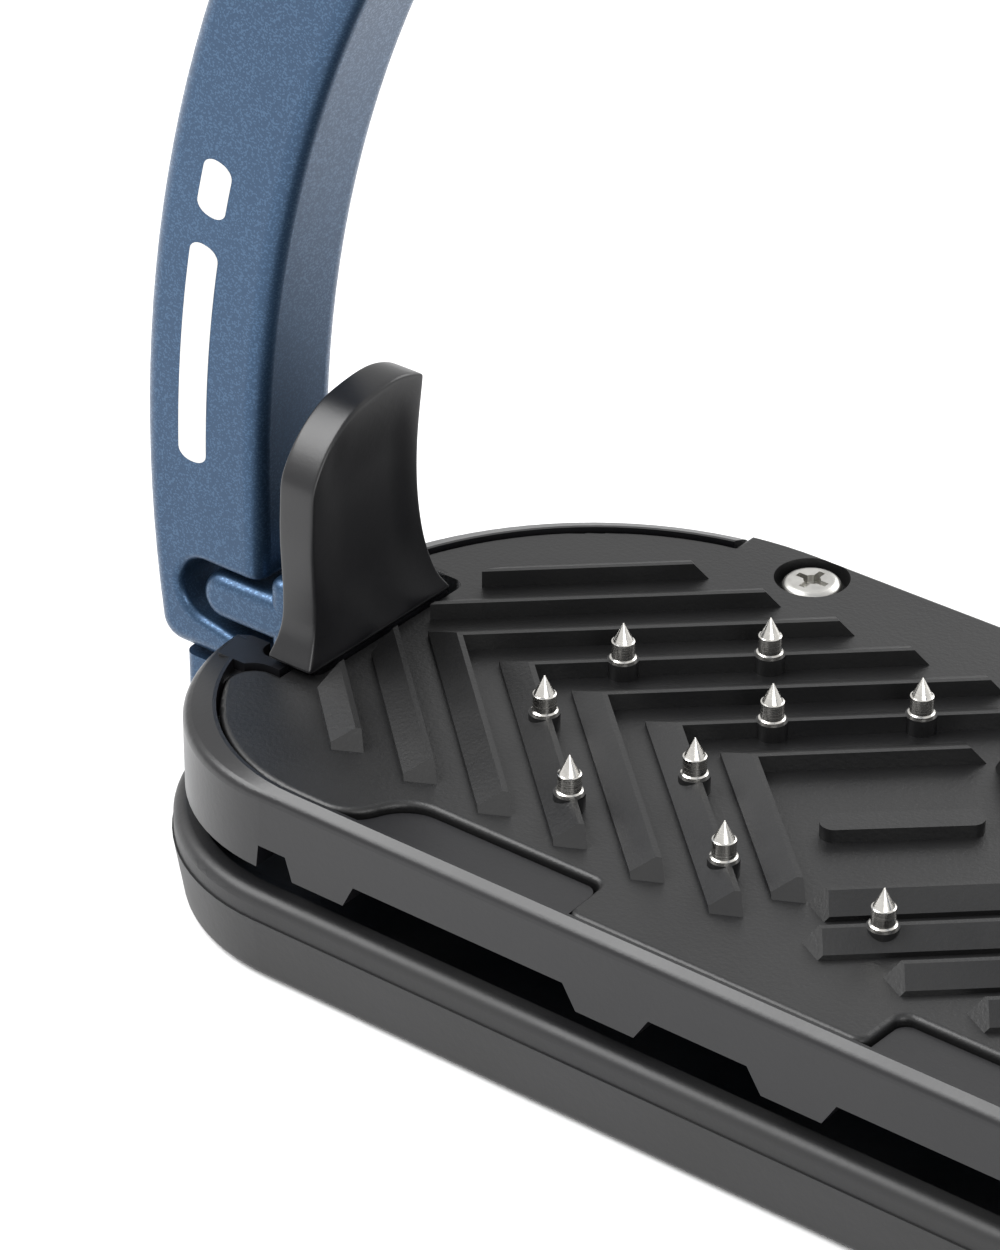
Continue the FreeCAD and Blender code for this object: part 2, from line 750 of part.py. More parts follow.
# ---- hinge pieces --------------------------------------------------------
def make_hinge_pin():
    pin = hinge_rod(hinge_pin_r, -hinge_half, hinge_half)
    head = hinge_rod(hinge_head_r, hinge_half, hinge_half + hinge_head)
    rim = [e for e in head.Edges if e.CenterOfMass.y > hinge_half + 0.5 * hinge_head]
    head = head.makeFillet(hinge_head_round, [e for e in rim if len(e.Vertexes) == 1])
    pin = pin.fuse(head).removeSplitter()
    return pin.cut(hinge_rod(hinge_screw_r, -hinge_half - 1, -hinge_half + hinge_screw_hole))


def make_hinge_screw():
    face = -hinge_half
    head = hinge_rod(hinge_head_r, face - hinge_head, face)
    rim = []
    for edge in head.Edges:
        if len(edge.Vertexes) == 1 and edge.CenterOfMass.y < face - 0.5 * hinge_head:
            rim.append(edge)
    head = head.makeFillet(hinge_screw_round, rim)
    shank = hinge_rod(hinge_screw_r, face, face + hinge_screw_length)
    screw = head.fuse(shank).removeSplitter()
    points = []
    for i in range(6):
        a = math.radians(60 * i)
        across = Vector(math.cos(a), 0, math.sin(a)) * hinge_socket_r
        points.append(hinge + across + Vector(0, face - hinge_head - 1, 0))
    hexagon = Part.Face(Part.makePolygon(points + points[:1]))
    socket = hexagon.extrude(Vector(0, 1 + hinge_socket_deep, 0))
    return screw.cut(socket)


def make_arm_bush():
    length = spring_low + knuckle_half
    tube = hinge_rod(hinge_pin_r + run_clear + bush_wall, -knuckle_half, -knuckle_half + length)
    return tube.cut(hinge_rod(hinge_pin_r + run_clear, -leg_thick, leg_thick))


def make_arm_spring():
    mean_r = hinge_pin_r + spring_slip + spring_wire
    return coil(hinge.x, spring_low + spring_gap, hinge.z, mean_r, spring_wire, spring_turns)


# ---- release lever -------------------------------------------------------
def pivot_rod(radius, half):
    """Rod along the lever's pivot, half to each side of the arch plane."""
    return rod(-lever_x, -half, lever_z, radius, 2 * half, (0, 1, 0))


def make_lever():
    """Blade that stands above the tread, on a barrel that turns in the bar."""
    foot = deck_under + blade_foot
    points = [
        (-blade_near, foot, 0),
        (-blade_near, blade_top - blade_drop, blade_shoulder_r),
        (blade_tip_y, blade_top + blade_tip_rise, blade_tip_r),
        (blade_heel_y, plate_top + blade_heel_rise, blade_heel_r),
        (blade_far, plate_top - blade_toe_drop, 0),
        (blade_far, foot, 0),
    ]
    face = Part.Face(rounded_polygon(points))
    face.translate(Vector(-blade_back, 0, 0))
    blade = face.extrude(Vector(blade_back - blade_front, 0, 0))
    rims = []
    for edge in blade.Edges:
        flat = edge.BoundBox.XLength < same
        if flat and edge.BoundBox.ZMax > plate_top:
            rims.append(edge)
    blade = blade.makeFillet(blade_round, rims)
    neck_half = barrel_half - neck_in
    neck = block(-blade_back, -blade_front, -neck_half, neck_half, lever_z, deck_under + 1)
    barrel = pivot_rod(barrel_r, barrel_half)
    lever = blade.fuse([neck, barrel]).removeSplitter()
    lever = lever.cut(pivot_rod(lever_pin_r + run_clear, bar_half_width))
    low = claw_low()
    seat = block(-beyond, -lever_x + claw_root, -claw_half, claw_half, low, low + claw_thick)
    return lever.cut(seat.cut(pivot_rod(lever_pin_r + claw_wall, bar_half_width)))


def claw_low():
    """Underside of the claw, so that its nose stands just under the catch."""
    return leg_under - claw_stand_off - claw_rise - claw_thick


def make_claw():
    """Steel catch moulded into the lever's barrel."""
    low = claw_low()
    arm = block(-claw_reach, -lever_x + claw_root, -claw_half, claw_half, low, low + claw_thick)
    nose = block(-claw_reach, -claw_reach + claw_nose, -claw_half, claw_half,
                 low + claw_thick, low + claw_thick + claw_rise)
    claw = arm.fuse(nose).removeSplitter()
    tip = []
    for edge in claw.Edges:
        mid = edge.CenterOfMass
        if abs(mid.z - low - claw_thick - claw_rise) < same and abs(mid.y) < same:
            tip.append(edge)
    claw = claw.makeFillet(claw_tip_round, tip)
    return claw.cut(pivot_rod(lever_pin_r + claw_wall, bar_half_width))


def make_lever_pin():
    return pivot_rod(lever_pin_r, bar_half_width - lever_pin_in)


def make_lever_springs():
    springs = []
    mean_r = lever_pin_r + lever_spring_slip + lever_spring_wire
    length = 2 * lever_spring_wire * lever_spring_turns
    for start in (-barrel_half - spring_gap - length, barrel_half + spring_gap):
        springs.append(coil(-lever_x, start, lever_z, mean_r, lever_spring_wire, lever_spring_turns))
    return Part.makeCompound(springs)


# ---- base tray -----------------------------------------------------------
def make_tray():
    foot = -tray_overhang + tray_foot_taper
    tray = tapered_slab(foot, 0.0, -tray_overhang, tray_line)
    foot_edges = []
    for edge in tray.Edges:
        if abs(edge.CenterOfMass.z) < same:
            foot_edges.append(edge)
    tray = tray.makeFillet(tray_foot_round, foot_edges)
    upper = plan_slab(-tray_overhang + tray_step, tray_line, tray_height)
    rim = [e for e in upper.Edges if abs(e.CenterOfMass.z - tray_height) < same]
    upper = upper.makeFillet(tray_rim_round, rim)
    tray = tray.fuse(upper)
    tray = tray.cut(plan_slab(-tray_overhang + tray_wall, tray_floor, tray_height + 1))
    half = bar_end_half_width + bar_gap
    notch_x = tread_half - end_notch
    top = tray_height + 1
    tray = tray.cut(block(-beyond, -notch_x, -half, half, lip_under - lip_notch_drop, top))
    tray = tray.cut(block(notch_x, beyond, -half, half, heel_under - bar_gap, top))
    for x, y in tray_screw_places():
        tray = tray.cut(rod(x, y, -1, tray_screw_r + tray_screw_gap, 5))
        sink = Part.makeCone(tray_screw_r + tray_sink, tray_screw_r, tray_sink, Vector(x, y, -same))
        tray = tray.cut(sink)
    return tray


def tray_screw_places():
    ends = (-tray_screw_x + tray_screw_shift, tray_screw_x)
    return [(x, y) for x in ends for y in (-tray_screw_y, tray_screw_y)]


def make_tray_screws():
    screws = []
    for x, y in tray_screw_places():
        foot = Vector(x, y, tray_head_sunk)
        head = Part.makeCone(tray_screw_r + tray_head_out, tray_screw_r, tray_head, foot)
        shank = rod(x, y, tray_head_sunk + tray_head, tray_screw_r, tray_screw_length)
        screw = head.fuse(shank).removeSplitter()
        slot = block(x - tray_cross, x + tray_cross, y - tray_cross_half, y + tray_cross_half,
                     -1, tray_cross_deep)
        cross = block(x - tray_cross_half, x + tray_cross_half, y - tray_cross, y + tray_cross,
                      -1, tray_cross_deep)
        screws.append(screw.cut(slot.fuse(cross)))
    return Part.makeCompound(screws)


# ---- tread bed -----------------------------------------------------------
def skirt_notches():
    """Windows along the -Y skirt, the same on both halves."""
    low = tab_level - 1
    foot, top = notch_middle
    cuts = [[(-foot, low), (-top, notch_level), (top, notch_level), (foot, low)]]
    for s in (-1, 1):
        for a, b, c, d in notch_sides:
            cuts.append([(s * a, low), (s * b, notch_level), (s * c, notch_level), (s * d, low)])
    windows = []
    for points in cuts:
        wire = Part.makePolygon([Vector(x, -tread_near - 2, z) for x, z in points + points[:1]])
        windows.append(Part.Face(wire).extrude(Vector(0, skirt_wall + 4, 0)))
    return windows


def make_bed():
    bed = plan_slab(0, tab_level, crease_level)
    lip = Part.makeLoft([outline(0, crease_level), seam_line(-seam_land, lip_level)], True, True)
    bed = bed.fuse(lip).removeSplitter()
    crease = []
    for edge in bed.Edges:
        if abs(edge.CenterOfMass.z - crease_level) < same:
            crease.append(edge)
    bed = bed.makeFillet(crease_round, crease)
    bed = bed.cut(upright_slab(seam_line(0, tab_top), 5).cut(yoke_room(0.0)))
    bed = bed.cut(plan_slab(skirt_wall, tab_level - 1, deck_under))
    bed = bed.cut(plate_room(0.0))
    bed = bed.cut(skirt_notches())
    half = bar_end_half_width + bed_notch_gap
    notch_x = tread_half - end_notch
    bed = bed.cut(block(-beyond, -notch_x, -half, half, tab_level - 1, notch_level))
    bed = bed.cut(block(notch_x, beyond, -half, half, tab_level - 1, notch_level))
    bed = bed.cut([lever_room(), post_room()])
    bed = bed.fuse(lever_cheek()).removeSplitter()
    for x, y in guide_places():
        bed = bed.fuse(rod(x, y, guide_boss_under, guide_boss_r, deck_under - guide_boss_under + 0.5))
    for x, y in guide_places():
        bed = bed.cut(rod(x, y, guide_boss_under - 1, guide_insert_r, beyond))
    for x, y in plate_screw_places():
        hole_r = screw_r + insert_wall
        boss_low = deck_under - screw_boss_drop
        bed = bed.fuse(rod(x, y, boss_low, hole_r + screw_boss_wall, screw_boss_drop + 0.5))
        bed = bed.cut(rod(x, y, boss_low - 1, hole_r, beyond))
    return bed


def lever_cheek():
    """Shoulder of the bed beside the post, level with the lip."""
    cheek = block(-tread_half + cheek_inset, -well_inner, -well_near - yoke_margin - 1, -yoke_near,
                  deck_under + 0.5, lip_level)
    rims = []
    for edge in cheek.Edges:
        mid = edge.CenterOfMass
        if abs(mid.z - lip_level) < same and abs(mid.y + yoke_near) < same:
            rims.append(edge)
    cheek = cheek.makeFillet(cheek_round, rims)
    cheek = cheek.cut([lever_room(), plate_room(0.0)])
    return cheek.common(plan_slab(cheek_inset, deck_under, lip_level))


def guide_places():
    return [(x, y) for x in (-guide_x, guide_x) for y in (-guide_y, guide_y)]


def plate_screw_places():
    return [(-plate_screw_x, plate_screw_y), (plate_screw_x, plate_screw_y)]


def lever_room():
    """Opening for the lever in the plate and the bed."""
    return rounded_block(-well_outer, -well_inner, -well_near, well_far,
                         tab_level - 1, lip_level + 1, well_round)


def post_room():
    """Opening in the end of the bed for the arm's post."""
    return block(-tread_half - 5, -well_outer + yoke_overlap, -yoke_near, well_far,
                 tab_level - 1, lip_level + 1)


def yoke_room(inset):
    """Part of the -X end that stays with the bed, round the lever and the post."""
    return block(-tread_half - 5, -well_inner - yoke_in + inset,
                 -well_near - yoke_margin - inset, well_far,
                 deck_top - 1, lip_level + 1)


def near_tab(s, inset):
    """Tab of the bed that reaches into the -Y edge of the plate."""
    inner = -tread_near + near_tab_in + inset
    outer = -tread_near - 2
    run = near_tab_slope * (inner - outer) / near_tab_in
    x0 = s * (near_tab_start - inset)
    x1 = s * (near_tab_end + inset)
    points = [Vector(x0, inner, deck_top - 1), Vector(x1, inner, deck_top - 1),
              Vector(x1 + s * run, outer, deck_top - 1),
              Vector(x0 - s * near_tab_lean, outer, deck_top - 1)]
    wire = Part.makePolygon(points + points[:1])
    return upright_slab(wire, lip_level + 2 - deck_top)


def plate_room(inset):
    """The plate's own plan, from the deck up to above the lip."""
    top = lip_level + 1
    room = upright_slab(seam_line(inset, deck_top), top - deck_top)
    reach = plan_slab(-1, deck_top, top).common(
        block(-far_tip + inset, far_tip - inset, tread_far - far_reach, tread_far + 3, deck_top, top))
    room = room.fuse(reach)
    room = room.cut([near_tab(1, inset), near_tab(-1, inset), yoke_room(inset)]).removeSplitter()
    rounds = {tab_round_inner: [], tab_round_outer: [], yoke_round: []}
    for edge in room.Edges:
        if edge.BoundBox.XLength > same or edge.BoundBox.YLength > same:
            continue
        x, y = edge.CenterOfMass.x, edge.CenterOfMass.y
        on_lip = abs(y + tread_near - seam_near - inset) < same
        on_tab = abs(y + tread_near - near_tab_in - inset) < same
        if abs(x) < near_tab_start + 2 and (on_lip or on_tab):
            rounds[tab_round_inner].append(edge)
        elif near_tab_end - 1 < abs(x) < near_tab_end + near_tab_slope and (on_lip or on_tab):
            rounds[tab_round_outer].append(edge)
        elif x < -well_inner - yoke_in - 1 and y < 0:
            rounds[yoke_round].append(edge)
    for radius, edges in rounds.items():
        room = room.makeFillet(radius, edges)
    return room


# ---- tread plate ---------------------------------------------------------
def rib_arm(apex_x, side, start_x, end_y, end_run):
    """One straight arm of a chevron that points to -X."""
    angle = math.radians(chevron_angle)
    along = Vector(math.cos(angle), side * math.sin(angle), 0)
    outward = Vector(-math.sin(angle), side * math.cos(angle), 0)
    length = abs(end_y) / math.sin(angle)
    section = [(0, -rib_sunk), (0, rib_height), (rib_land, rib_height), (rib_width, rib_foot),
               (rib_width, -rib_sunk)]

    def ring(middle, run):
        """Section at middle, leaning so that the tall side of the arm ends furthest out."""
        points = []
        for w, h in section:
            s = middle - run * (h / rib_height + rib_end_skew * w / rib_width)
            points.append(Vector(apex_x, 0, plate_top + h) + along * s + outward * w)
        return points

    arm = hull_prism(ring(-rib_back, 0), ring(length, end_run))
    y_low = 0 if side > 0 else -beyond
    arm = arm.common(block(-beyond, beyond, y_low, y_low + beyond, 0, beyond))
    if start_x is not None:
        arm = arm.common(block(start_x, beyond, -beyond, beyond, 0, beyond))
    return arm


def make_ribs():
    ribs = []
    for i in range(chevron_count):
        apex = -chevron_first - chevron_pitch * i
        start = -rib_start if i >= rib_stop_from else None
        far = first_far if i == 0 else rib_far
        near = first_near if i == 0 else rib_near
        ribs.append(rib_arm(apex, 1, start, far, rib_slope))
        ribs.append(rib_arm(apex, -1, start, near, rib_slope))
    return ribs


def stud_places():
    """Centres of the studs on the -X half."""
    places = []
    angle = math.radians(chevron_angle)
    back = rib_land / 2 + stud_back
    for i in stud_rows:
        apex = -chevron_first - chevron_pitch * i
        for y in (stud_inner_y, stud_outer_y):
            for side in (1, -1):
                x = apex + y / math.tan(angle) - back / math.sin(angle)
                places.append((x, side * y))
    return places


def make_plate():
    plate = plate_room(seam_gap)
    plate = plate.common(block(-beyond, beyond, -beyond, beyond, deck_top, plate_top))
    plate = plate.common(plan_slab(0.0, deck_top, plate_top))
    rims = [e for e in plate.Edges if e.BoundBox.ZMin > plate_top - same]
    plate = plate.makeFillet(plate_round, rims)
    plate = plate.cut(lever_room())
    left = make_ribs()
    right = [flipped(rib) for rib in left]
    plate = plate.fuse(left + right)
    bosses = []
    for x, y in stud_places():
        for s in (1, -1):
            bosses.append(rod(s * x, y, plate_top - 0.5, stud_boss_r, rib_height + 0.5))
    plate = plate.fuse(bosses)
    half = bar_mark / 2
    mark = rounded_block(-half, half, -bar_mark_width / 2, bar_mark_width / 2,
                         plate_top - rib_sunk, plate_top + bar_mark_height, bar_mark_round)
    mark.rotate(Vector(0, 0, 0), Vector(0, 0, 1), bar_mark_turn)
    plate = plate.fuse(mark)
    for x, y in stud_places():
        for s in (1, -1):
            low = plate_top + rib_height - stud_root
            plate = plate.cut(rod(s * x, y, low, stud_r - stud_neck, beyond))
    for x, y in plate_screw_places():
        plate = plate.cut(rod(x, y, plate_top - recess_depth, recess_r, beyond))
        plate = plate.cut(rod(x, y, deck_top - 1, screw_r + screw_gap, beyond))
    return plate.removeSplitter()


# ---- studs and screws ----------------------------------------------------
def make_stud(x, y):
    ridge = plate_top + rib_height
    tip = ridge + stud_over
    low = ridge - stud_root
    points = [
        Vector(0, 0, low),
        Vector(stud_r - stud_neck, 0, low),
        Vector(stud_r - stud_neck, 0, ridge),
        Vector(stud_flange_r, 0, ridge),
        Vector(stud_flange_r, 0, ridge + stud_flange),
        Vector(stud_r, 0, ridge + stud_flange + stud_fillet),
        Vector(stud_r, 0, tip - stud_cone),
        Vector(stud_r - stud_edge, 0, tip - stud_cone + stud_edge_rise),
        Vector(stud_point, 0, tip - stud_point_rise),
        Vector(0, 0, tip),
    ]
    face = Part.Face(Part.makePolygon(points + points[:1]))
    stud = face.revolve(Vector(0, 0, 0), Vector(0, 0, 1), 360)
    stud.translate(Vector(x, y, 0))
    return stud


def make_studs(s):
    return Part.makeCompound([make_stud(s * x, y) for x, y in stud_places()])


def make_plate_screw(x, y):
    seat = plate_top - recess_depth
    head = rod(x, y, seat, screw_head_r, screw_head)
    rim = []
    for edge in head.Edges:
        if len(edge.Vertexes) == 1 and edge.CenterOfMass.z > seat + 0.5 * screw_head:
            rim.append(edge)
    head = head.makeFillet(screw_round, rim)
    shank = rod(x, y, seat - screw_length, screw_r, screw_length)
    screw = head.fuse(shank).removeSplitter()
    floor = seat + cross_floor
    along = block(x - cross_half, x + cross_half, y - cross_wide, y + cross_wide, floor, seat + 3)
    across = block(x - cross_wide, x + cross_wide, y - cross_half, y + cross_half, floor, seat + 3)
    pit = rod(x, y, floor, cross_pit, 3)
    return screw.cut(along.fuse([across, pit]))


def make_plate_screws():
    return Part.makeCompound([make_plate_screw(x, y) for x, y in plate_screw_places()])


def make_plate_inserts():
    inserts = []
    for x, y in plate_screw_places():
        low = deck_under - screw_boss_drop
        tube = rod(x, y, low, screw_r + insert_wall, deck_top - low)
        inserts.append(tube.cut(rod(x, y, 0, screw_r, beyond)))
    return Part.makeCompound(inserts)


# ---- cushioning ----------------------------------------------------------
def make_cushions():
    pads = []
    for x in (-cushion_x, 0, cushion_x):
        low = bar_top - cushion_sunk
        pad = rod(x, 0, low, cushion_r, deck_under - low)
        pads.append(pad.cut(rod(x, 0, 0, cushion_bore, beyond)))
    return Part.makeCompound(pads)


def make_guide_screws():
    screws = []
    for x, y in guide_places():
        head = rod(x, y, guide_seat - guide_head, guide_head_r, guide_head)
        shank = rod(x, y, guide_seat, guide_r, deck_top - guide_seat - guide_short)
        screw = head.fuse(shank).removeSplitter()
        slot = block(x - guide_slot, x + guide_slot, y - guide_slot_half, y + guide_slot_half,
                     0, guide_seat - guide_head + guide_slot_deep)
        screws.append(screw.cut(slot))
    return Part.makeCompound(screws)


def make_guide_sleeves():
    sleeves = []
    for x, y in guide_places():
        tube = rod(x, y, guide_seat, guide_r + run_clear + sleeve_wall, bar_top - guide_seat)
        sleeves.append(tube.cut(rod(x, y, 0, guide_r + run_clear, beyond)))
    return Part.makeCompound(sleeves)


def make_guide_inserts():
    inserts = []
    for x, y in guide_places():
        tube = rod(x, y, guide_boss_under, guide_insert_r, deck_top - guide_boss_under - insert_short)
        inserts.append(tube.cut(rod(x, y, 0, guide_r, deck_top - guide_short)))
    return Part.makeCompound(inserts)


save("main_frame", make_frame())
save("release_arm", make_arm())
save("hinge_pin", make_hinge_pin())
save("hinge_screw", make_hinge_screw())
save("arm_bush", make_arm_bush())
save("arm_spring", make_arm_spring())
save("release_lever", make_lever())
save("latch_claw", make_claw())
save("lever_pin", make_lever_pin())
save("lever_springs", make_lever_springs())
save("base_tray", make_tray())
save("tray_screws", make_tray_screws())
save("tread_bed", make_bed())
save("tread_plate", make_plate())
save("studs_left", make_studs(1))
save("studs_right", make_studs(-1))
save("plate_screws", make_plate_screws())
save("plate_inserts", make_plate_inserts())
save("tread_cushions", make_cushions())
save("guide_screws", make_guide_screws())
save("guide_sleeves", make_guide_sleeves())
save("guide_inserts", make_guide_inserts())
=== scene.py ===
import math

import bmesh
import bpy
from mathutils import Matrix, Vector


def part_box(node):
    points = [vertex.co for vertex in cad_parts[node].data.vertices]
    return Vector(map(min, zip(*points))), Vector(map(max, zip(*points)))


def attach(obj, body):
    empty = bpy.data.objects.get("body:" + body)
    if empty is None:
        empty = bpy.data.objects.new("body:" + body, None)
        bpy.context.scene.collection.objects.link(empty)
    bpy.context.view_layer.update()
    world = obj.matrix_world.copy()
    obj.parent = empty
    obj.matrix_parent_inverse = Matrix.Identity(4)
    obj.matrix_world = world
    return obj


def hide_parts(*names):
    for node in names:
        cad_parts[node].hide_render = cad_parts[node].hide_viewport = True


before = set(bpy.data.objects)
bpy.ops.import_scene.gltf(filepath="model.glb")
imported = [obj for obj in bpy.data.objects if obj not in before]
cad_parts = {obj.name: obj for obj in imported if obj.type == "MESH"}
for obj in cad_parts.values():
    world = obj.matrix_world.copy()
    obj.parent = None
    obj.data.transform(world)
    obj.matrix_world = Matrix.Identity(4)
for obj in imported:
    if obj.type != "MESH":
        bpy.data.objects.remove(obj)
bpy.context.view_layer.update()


# ---- values of the finishes ----------------------------------------------
NOISE_BAND = (0.3, 0.7)      # where nearly all of a noise's values lie
GRAIN_DEPTH = 0.00004
FLECK_DEPTH = 0.00003
RING_DEPTH = 0.00003
BLUE_DEEP = (0.024, 0.055, 0.108, 1)
BLUE_PALE = (0.029, 0.064, 0.122, 1)
FLECK_BLUE = (0.08, 0.15, 0.25, 1)
FLECK_SHARE = 0.35           # how far a fleck turns to its own colour
BLUE_ROUGH = 0.42
FLECK_POLISH = -0.12         # change of roughness on a fleck
RING_STRETCH = (60.0, 60.0, 9000.0)
SOOT = 0.75                  # tone of the darkest steel as a share of the brightest
RING_POLISH = 0.08           # roughness below and above the steel's own
RING_DULL = 0.12
SMOOTH_ANGLE = 40.0


# ---- small helpers -------------------------------------------------------
def deselect_all():
    for obj in bpy.context.selected_objects:
        obj.select_set(False)


def node(name):
    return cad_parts[name]


def set_material(obj, material):
    obj.data.materials.clear()
    obj.data.materials.append(material)


# ---- shader node groups --------------------------------------------------
def new_group(name, inputs, outputs):
    """Empty shader group with float inputs and the named outputs."""
    group = bpy.data.node_groups.new(name, "ShaderNodeTree")
    for label, default in inputs:
        socket = group.interface.new_socket(label, in_out="INPUT", socket_type="NodeSocketFloat")
        socket.default_value = default
    for label, kind in outputs:
        group.interface.new_socket(label, in_out="OUTPUT", socket_type=kind)
    enter = group.nodes.new("NodeGroupInput")
    leave = group.nodes.new("NodeGroupOutput")
    return group, enter, leave


def math_node(group, operation, *values):
    tree_node = group.nodes.new("ShaderNodeMath")
    tree_node.operation = operation
    for index, value in enumerate(values):
        if isinstance(value, (int, float)):
            tree_node.inputs[index].default_value = value
        else:
            group.links.new(value, tree_node.inputs[index])
    return tree_node.outputs[0]


def noise_node(group, vector, scale, detail=2.0, rough=0.5):
    noise = group.nodes.new("ShaderNodeTexNoise")
    noise.inputs["Detail"].default_value = detail
    noise.inputs["Roughness"].default_value = rough
    group.links.new(vector, noise.inputs["Vector"])
    if isinstance(scale, (int, float)):
        noise.inputs["Scale"].default_value = scale
    else:
        group.links.new(scale, noise.inputs["Scale"])
    return noise.outputs["Fac"]


def object_coords(group):
    coords = group.nodes.new("ShaderNodeTexCoord")
    return coords.outputs["Object"]


def make_grain_group():
    """Fine moulded grain: a height and a slow smudge mask."""
    group, enter, leave = new_group(
        "moulded_grain",
        [("Grain Scale", 2600.0), ("Smudge Scale", 60.0)],
        [("Height", "NodeSocketFloat"), ("Smudge", "NodeSocketFloat")],
    )
    place = object_coords(group)
    fine = noise_node(group, place, enter.outputs["Grain Scale"], detail=3.0, rough=0.6)
    slow = noise_node(group, place, enter.outputs["Smudge Scale"], detail=4.0, rough=0.55)
    group.links.new(fine, leave.inputs["Height"])
    group.links.new(slow, leave.inputs["Smudge"])
    return group


def make_fleck_group():
    """Metallic powder flecks: a sparse sparkle mask and a fine height."""
    group, enter, leave = new_group(
        "metal_flecks",
        [("Fleck Scale", 5200.0), ("Threshold", 0.62)],
        [("Fleck", "NodeSocketFloat"), ("Height", "NodeSocketFloat"), ("Drift", "NodeSocketFloat")],
    )
    place = object_coords(group)
    cells = group.nodes.new("ShaderNodeTexVoronoi")
    group.links.new(place, cells.inputs["Vector"])
    group.links.new(enter.outputs["Fleck Scale"], cells.inputs["Scale"])
    tone = group.nodes.new("ShaderNodeSeparateColor")
    group.links.new(cells.outputs["Color"], tone.inputs["Color"])
    bright = math_node(group, "GREATER_THAN", tone.outputs["Red"], enter.outputs["Threshold"])
    fine = noise_node(group, place, enter.outputs["Fleck Scale"], rough=0.6)
    slow = noise_node(group, place, scale=45.0, detail=3.0)
    group.links.new(bright, leave.inputs["Fleck"])
    group.links.new(fine, leave.inputs["Height"])
    group.links.new(slow, leave.inputs["Drift"])
    return group


GRAIN = make_grain_group()
FLECKS = make_fleck_group()


def start_material(name, slot_inputs):
    material = bpy.data.materials.new(name)
    material.use_nodes = True
    shader = material.node_tree.nodes["Principled BSDF"]
    for label, value in slot_inputs.items():
        shader.inputs[label].default_value = value
    return material, material.node_tree, shader


def ramp_between(tree, fac, low, high):
    """Colour that runs from low to high over the band of a noise."""
    ramp = tree.nodes.new("ShaderNodeValToRGB")
    ramp.color_ramp.elements[0].position = NOISE_BAND[0]
    ramp.color_ramp.elements[1].position = NOISE_BAND[1]
    ramp.color_ramp.elements[0].color = low
    ramp.color_ramp.elements[1].color = high
    tree.links.new(fac, ramp.inputs["Fac"])
    return ramp.outputs["Color"]


def spread(tree, fac, low, high):
    """Value mapped from the band of a noise onto low to high."""
    ranged = tree.nodes.new("ShaderNodeMapRange")
    ranged.inputs["From Min"].default_value = NOISE_BAND[0]
    ranged.inputs["From Max"].default_value = NOISE_BAND[1]
    ranged.inputs["To Min"].default_value = low
    ranged.inputs["To Max"].default_value = high
    tree.links.new(fac, ranged.inputs["Value"])
    return ranged.outputs["Result"]


def bump_from(tree, height, shader, strength, distance):
    bump = tree.nodes.new("ShaderNodeBump")
    bump.inputs["Strength"].default_value = strength
    bump.inputs["Distance"].default_value = distance
    tree.links.new(height, bump.inputs["Height"])
    tree.links.new(bump.outputs["Normal"], shader.inputs["Normal"])


def plastic(name, dark, light, rough, grain_scale, strength, specular=0.5):
    """Black moulded plastic with fine grain and faint handling smudges."""
    material, tree, shader = start_material(name, {"Specular IOR Level": specular})
    grain = tree.nodes.new("ShaderNodeGroup")
    grain.node_tree = GRAIN
    grain.inputs["Grain Scale"].default_value = grain_scale
    colour = ramp_between(tree, grain.outputs["Smudge"], dark, light)
    tree.links.new(colour, shader.inputs["Base Color"])
    tree.links.new(spread(tree, grain.outputs["Smudge"], *rough), shader.inputs["Roughness"])
    bump_from(tree, grain.outputs["Height"], shader, strength, GRAIN_DEPTH)
    return material


def blue_metal(name):
    """Blue satin finish: a coloured metal with fine sparkling powder in it."""
    material, tree, shader = start_material(
        name, {"Metallic": 0.8, "Specular IOR Level": 0.5, "Coat Weight": 0.25, "Coat Roughness": 0.3})
    flecks = tree.nodes.new("ShaderNodeGroup")
    flecks.node_tree = FLECKS
    flecks.inputs["Fleck Scale"].default_value = 7500.0
    flecks.inputs["Threshold"].default_value = 0.72
    base = ramp_between(tree, flecks.outputs["Drift"], BLUE_DEEP, BLUE_PALE)
    mix = tree.nodes.new("ShaderNodeMix")
    mix.data_type = "RGBA"
    mix.inputs["B"].default_value = FLECK_BLUE
    share = math_node(tree, "MULTIPLY", flecks.outputs["Fleck"], FLECK_SHARE)
    tree.links.new(share, mix.inputs["Factor"])
    tree.links.new(base, mix.inputs["A"])
    tree.links.new(mix.outputs["Result"], shader.inputs["Base Color"])
    rough = math_node(tree, "MULTIPLY_ADD", flecks.outputs["Fleck"], FLECK_POLISH, BLUE_ROUGH)
    tree.links.new(rough, shader.inputs["Roughness"])
    bump_from(tree, flecks.outputs["Height"], shader, strength=0.3, distance=FLECK_DEPTH)
    return material


def turned_steel(name, tone, rough):
    """Turned steel: fine rings about Z and a little soot in the grooves."""
    material, tree, shader = start_material(name, {"Metallic": 1.0})
    place = object_coords(tree)
    stretch = tree.nodes.new("ShaderNodeMapping")
    stretch.inputs["Scale"].default_value = RING_STRETCH
    tree.links.new(place, stretch.inputs["Vector"])
    rings = noise_node(tree, stretch.outputs["Vector"], scale=1.0, detail=3.0, rough=0.6)
    slow = noise_node(tree, place, scale=700.0)
    low = tuple(v * SOOT for v in tone) + (1,)
    colour = ramp_between(tree, slow, low, tone + (1,))
    tree.links.new(colour, shader.inputs["Base Color"])
    dulled = spread(tree, rings, rough - RING_POLISH, rough + RING_DULL)
    tree.links.new(dulled, shader.inputs["Roughness"])
    bump_from(tree, rings, shader, strength=0.5, distance=RING_DEPTH)
    return material


# ---- modelling by operators ----------------------------------------------
def start_edit(obj):
    deselect_all()
    obj.select_set(True)
    bpy.context.view_layer.objects.active = obj
    bpy.ops.object.mode_set(mode="EDIT")


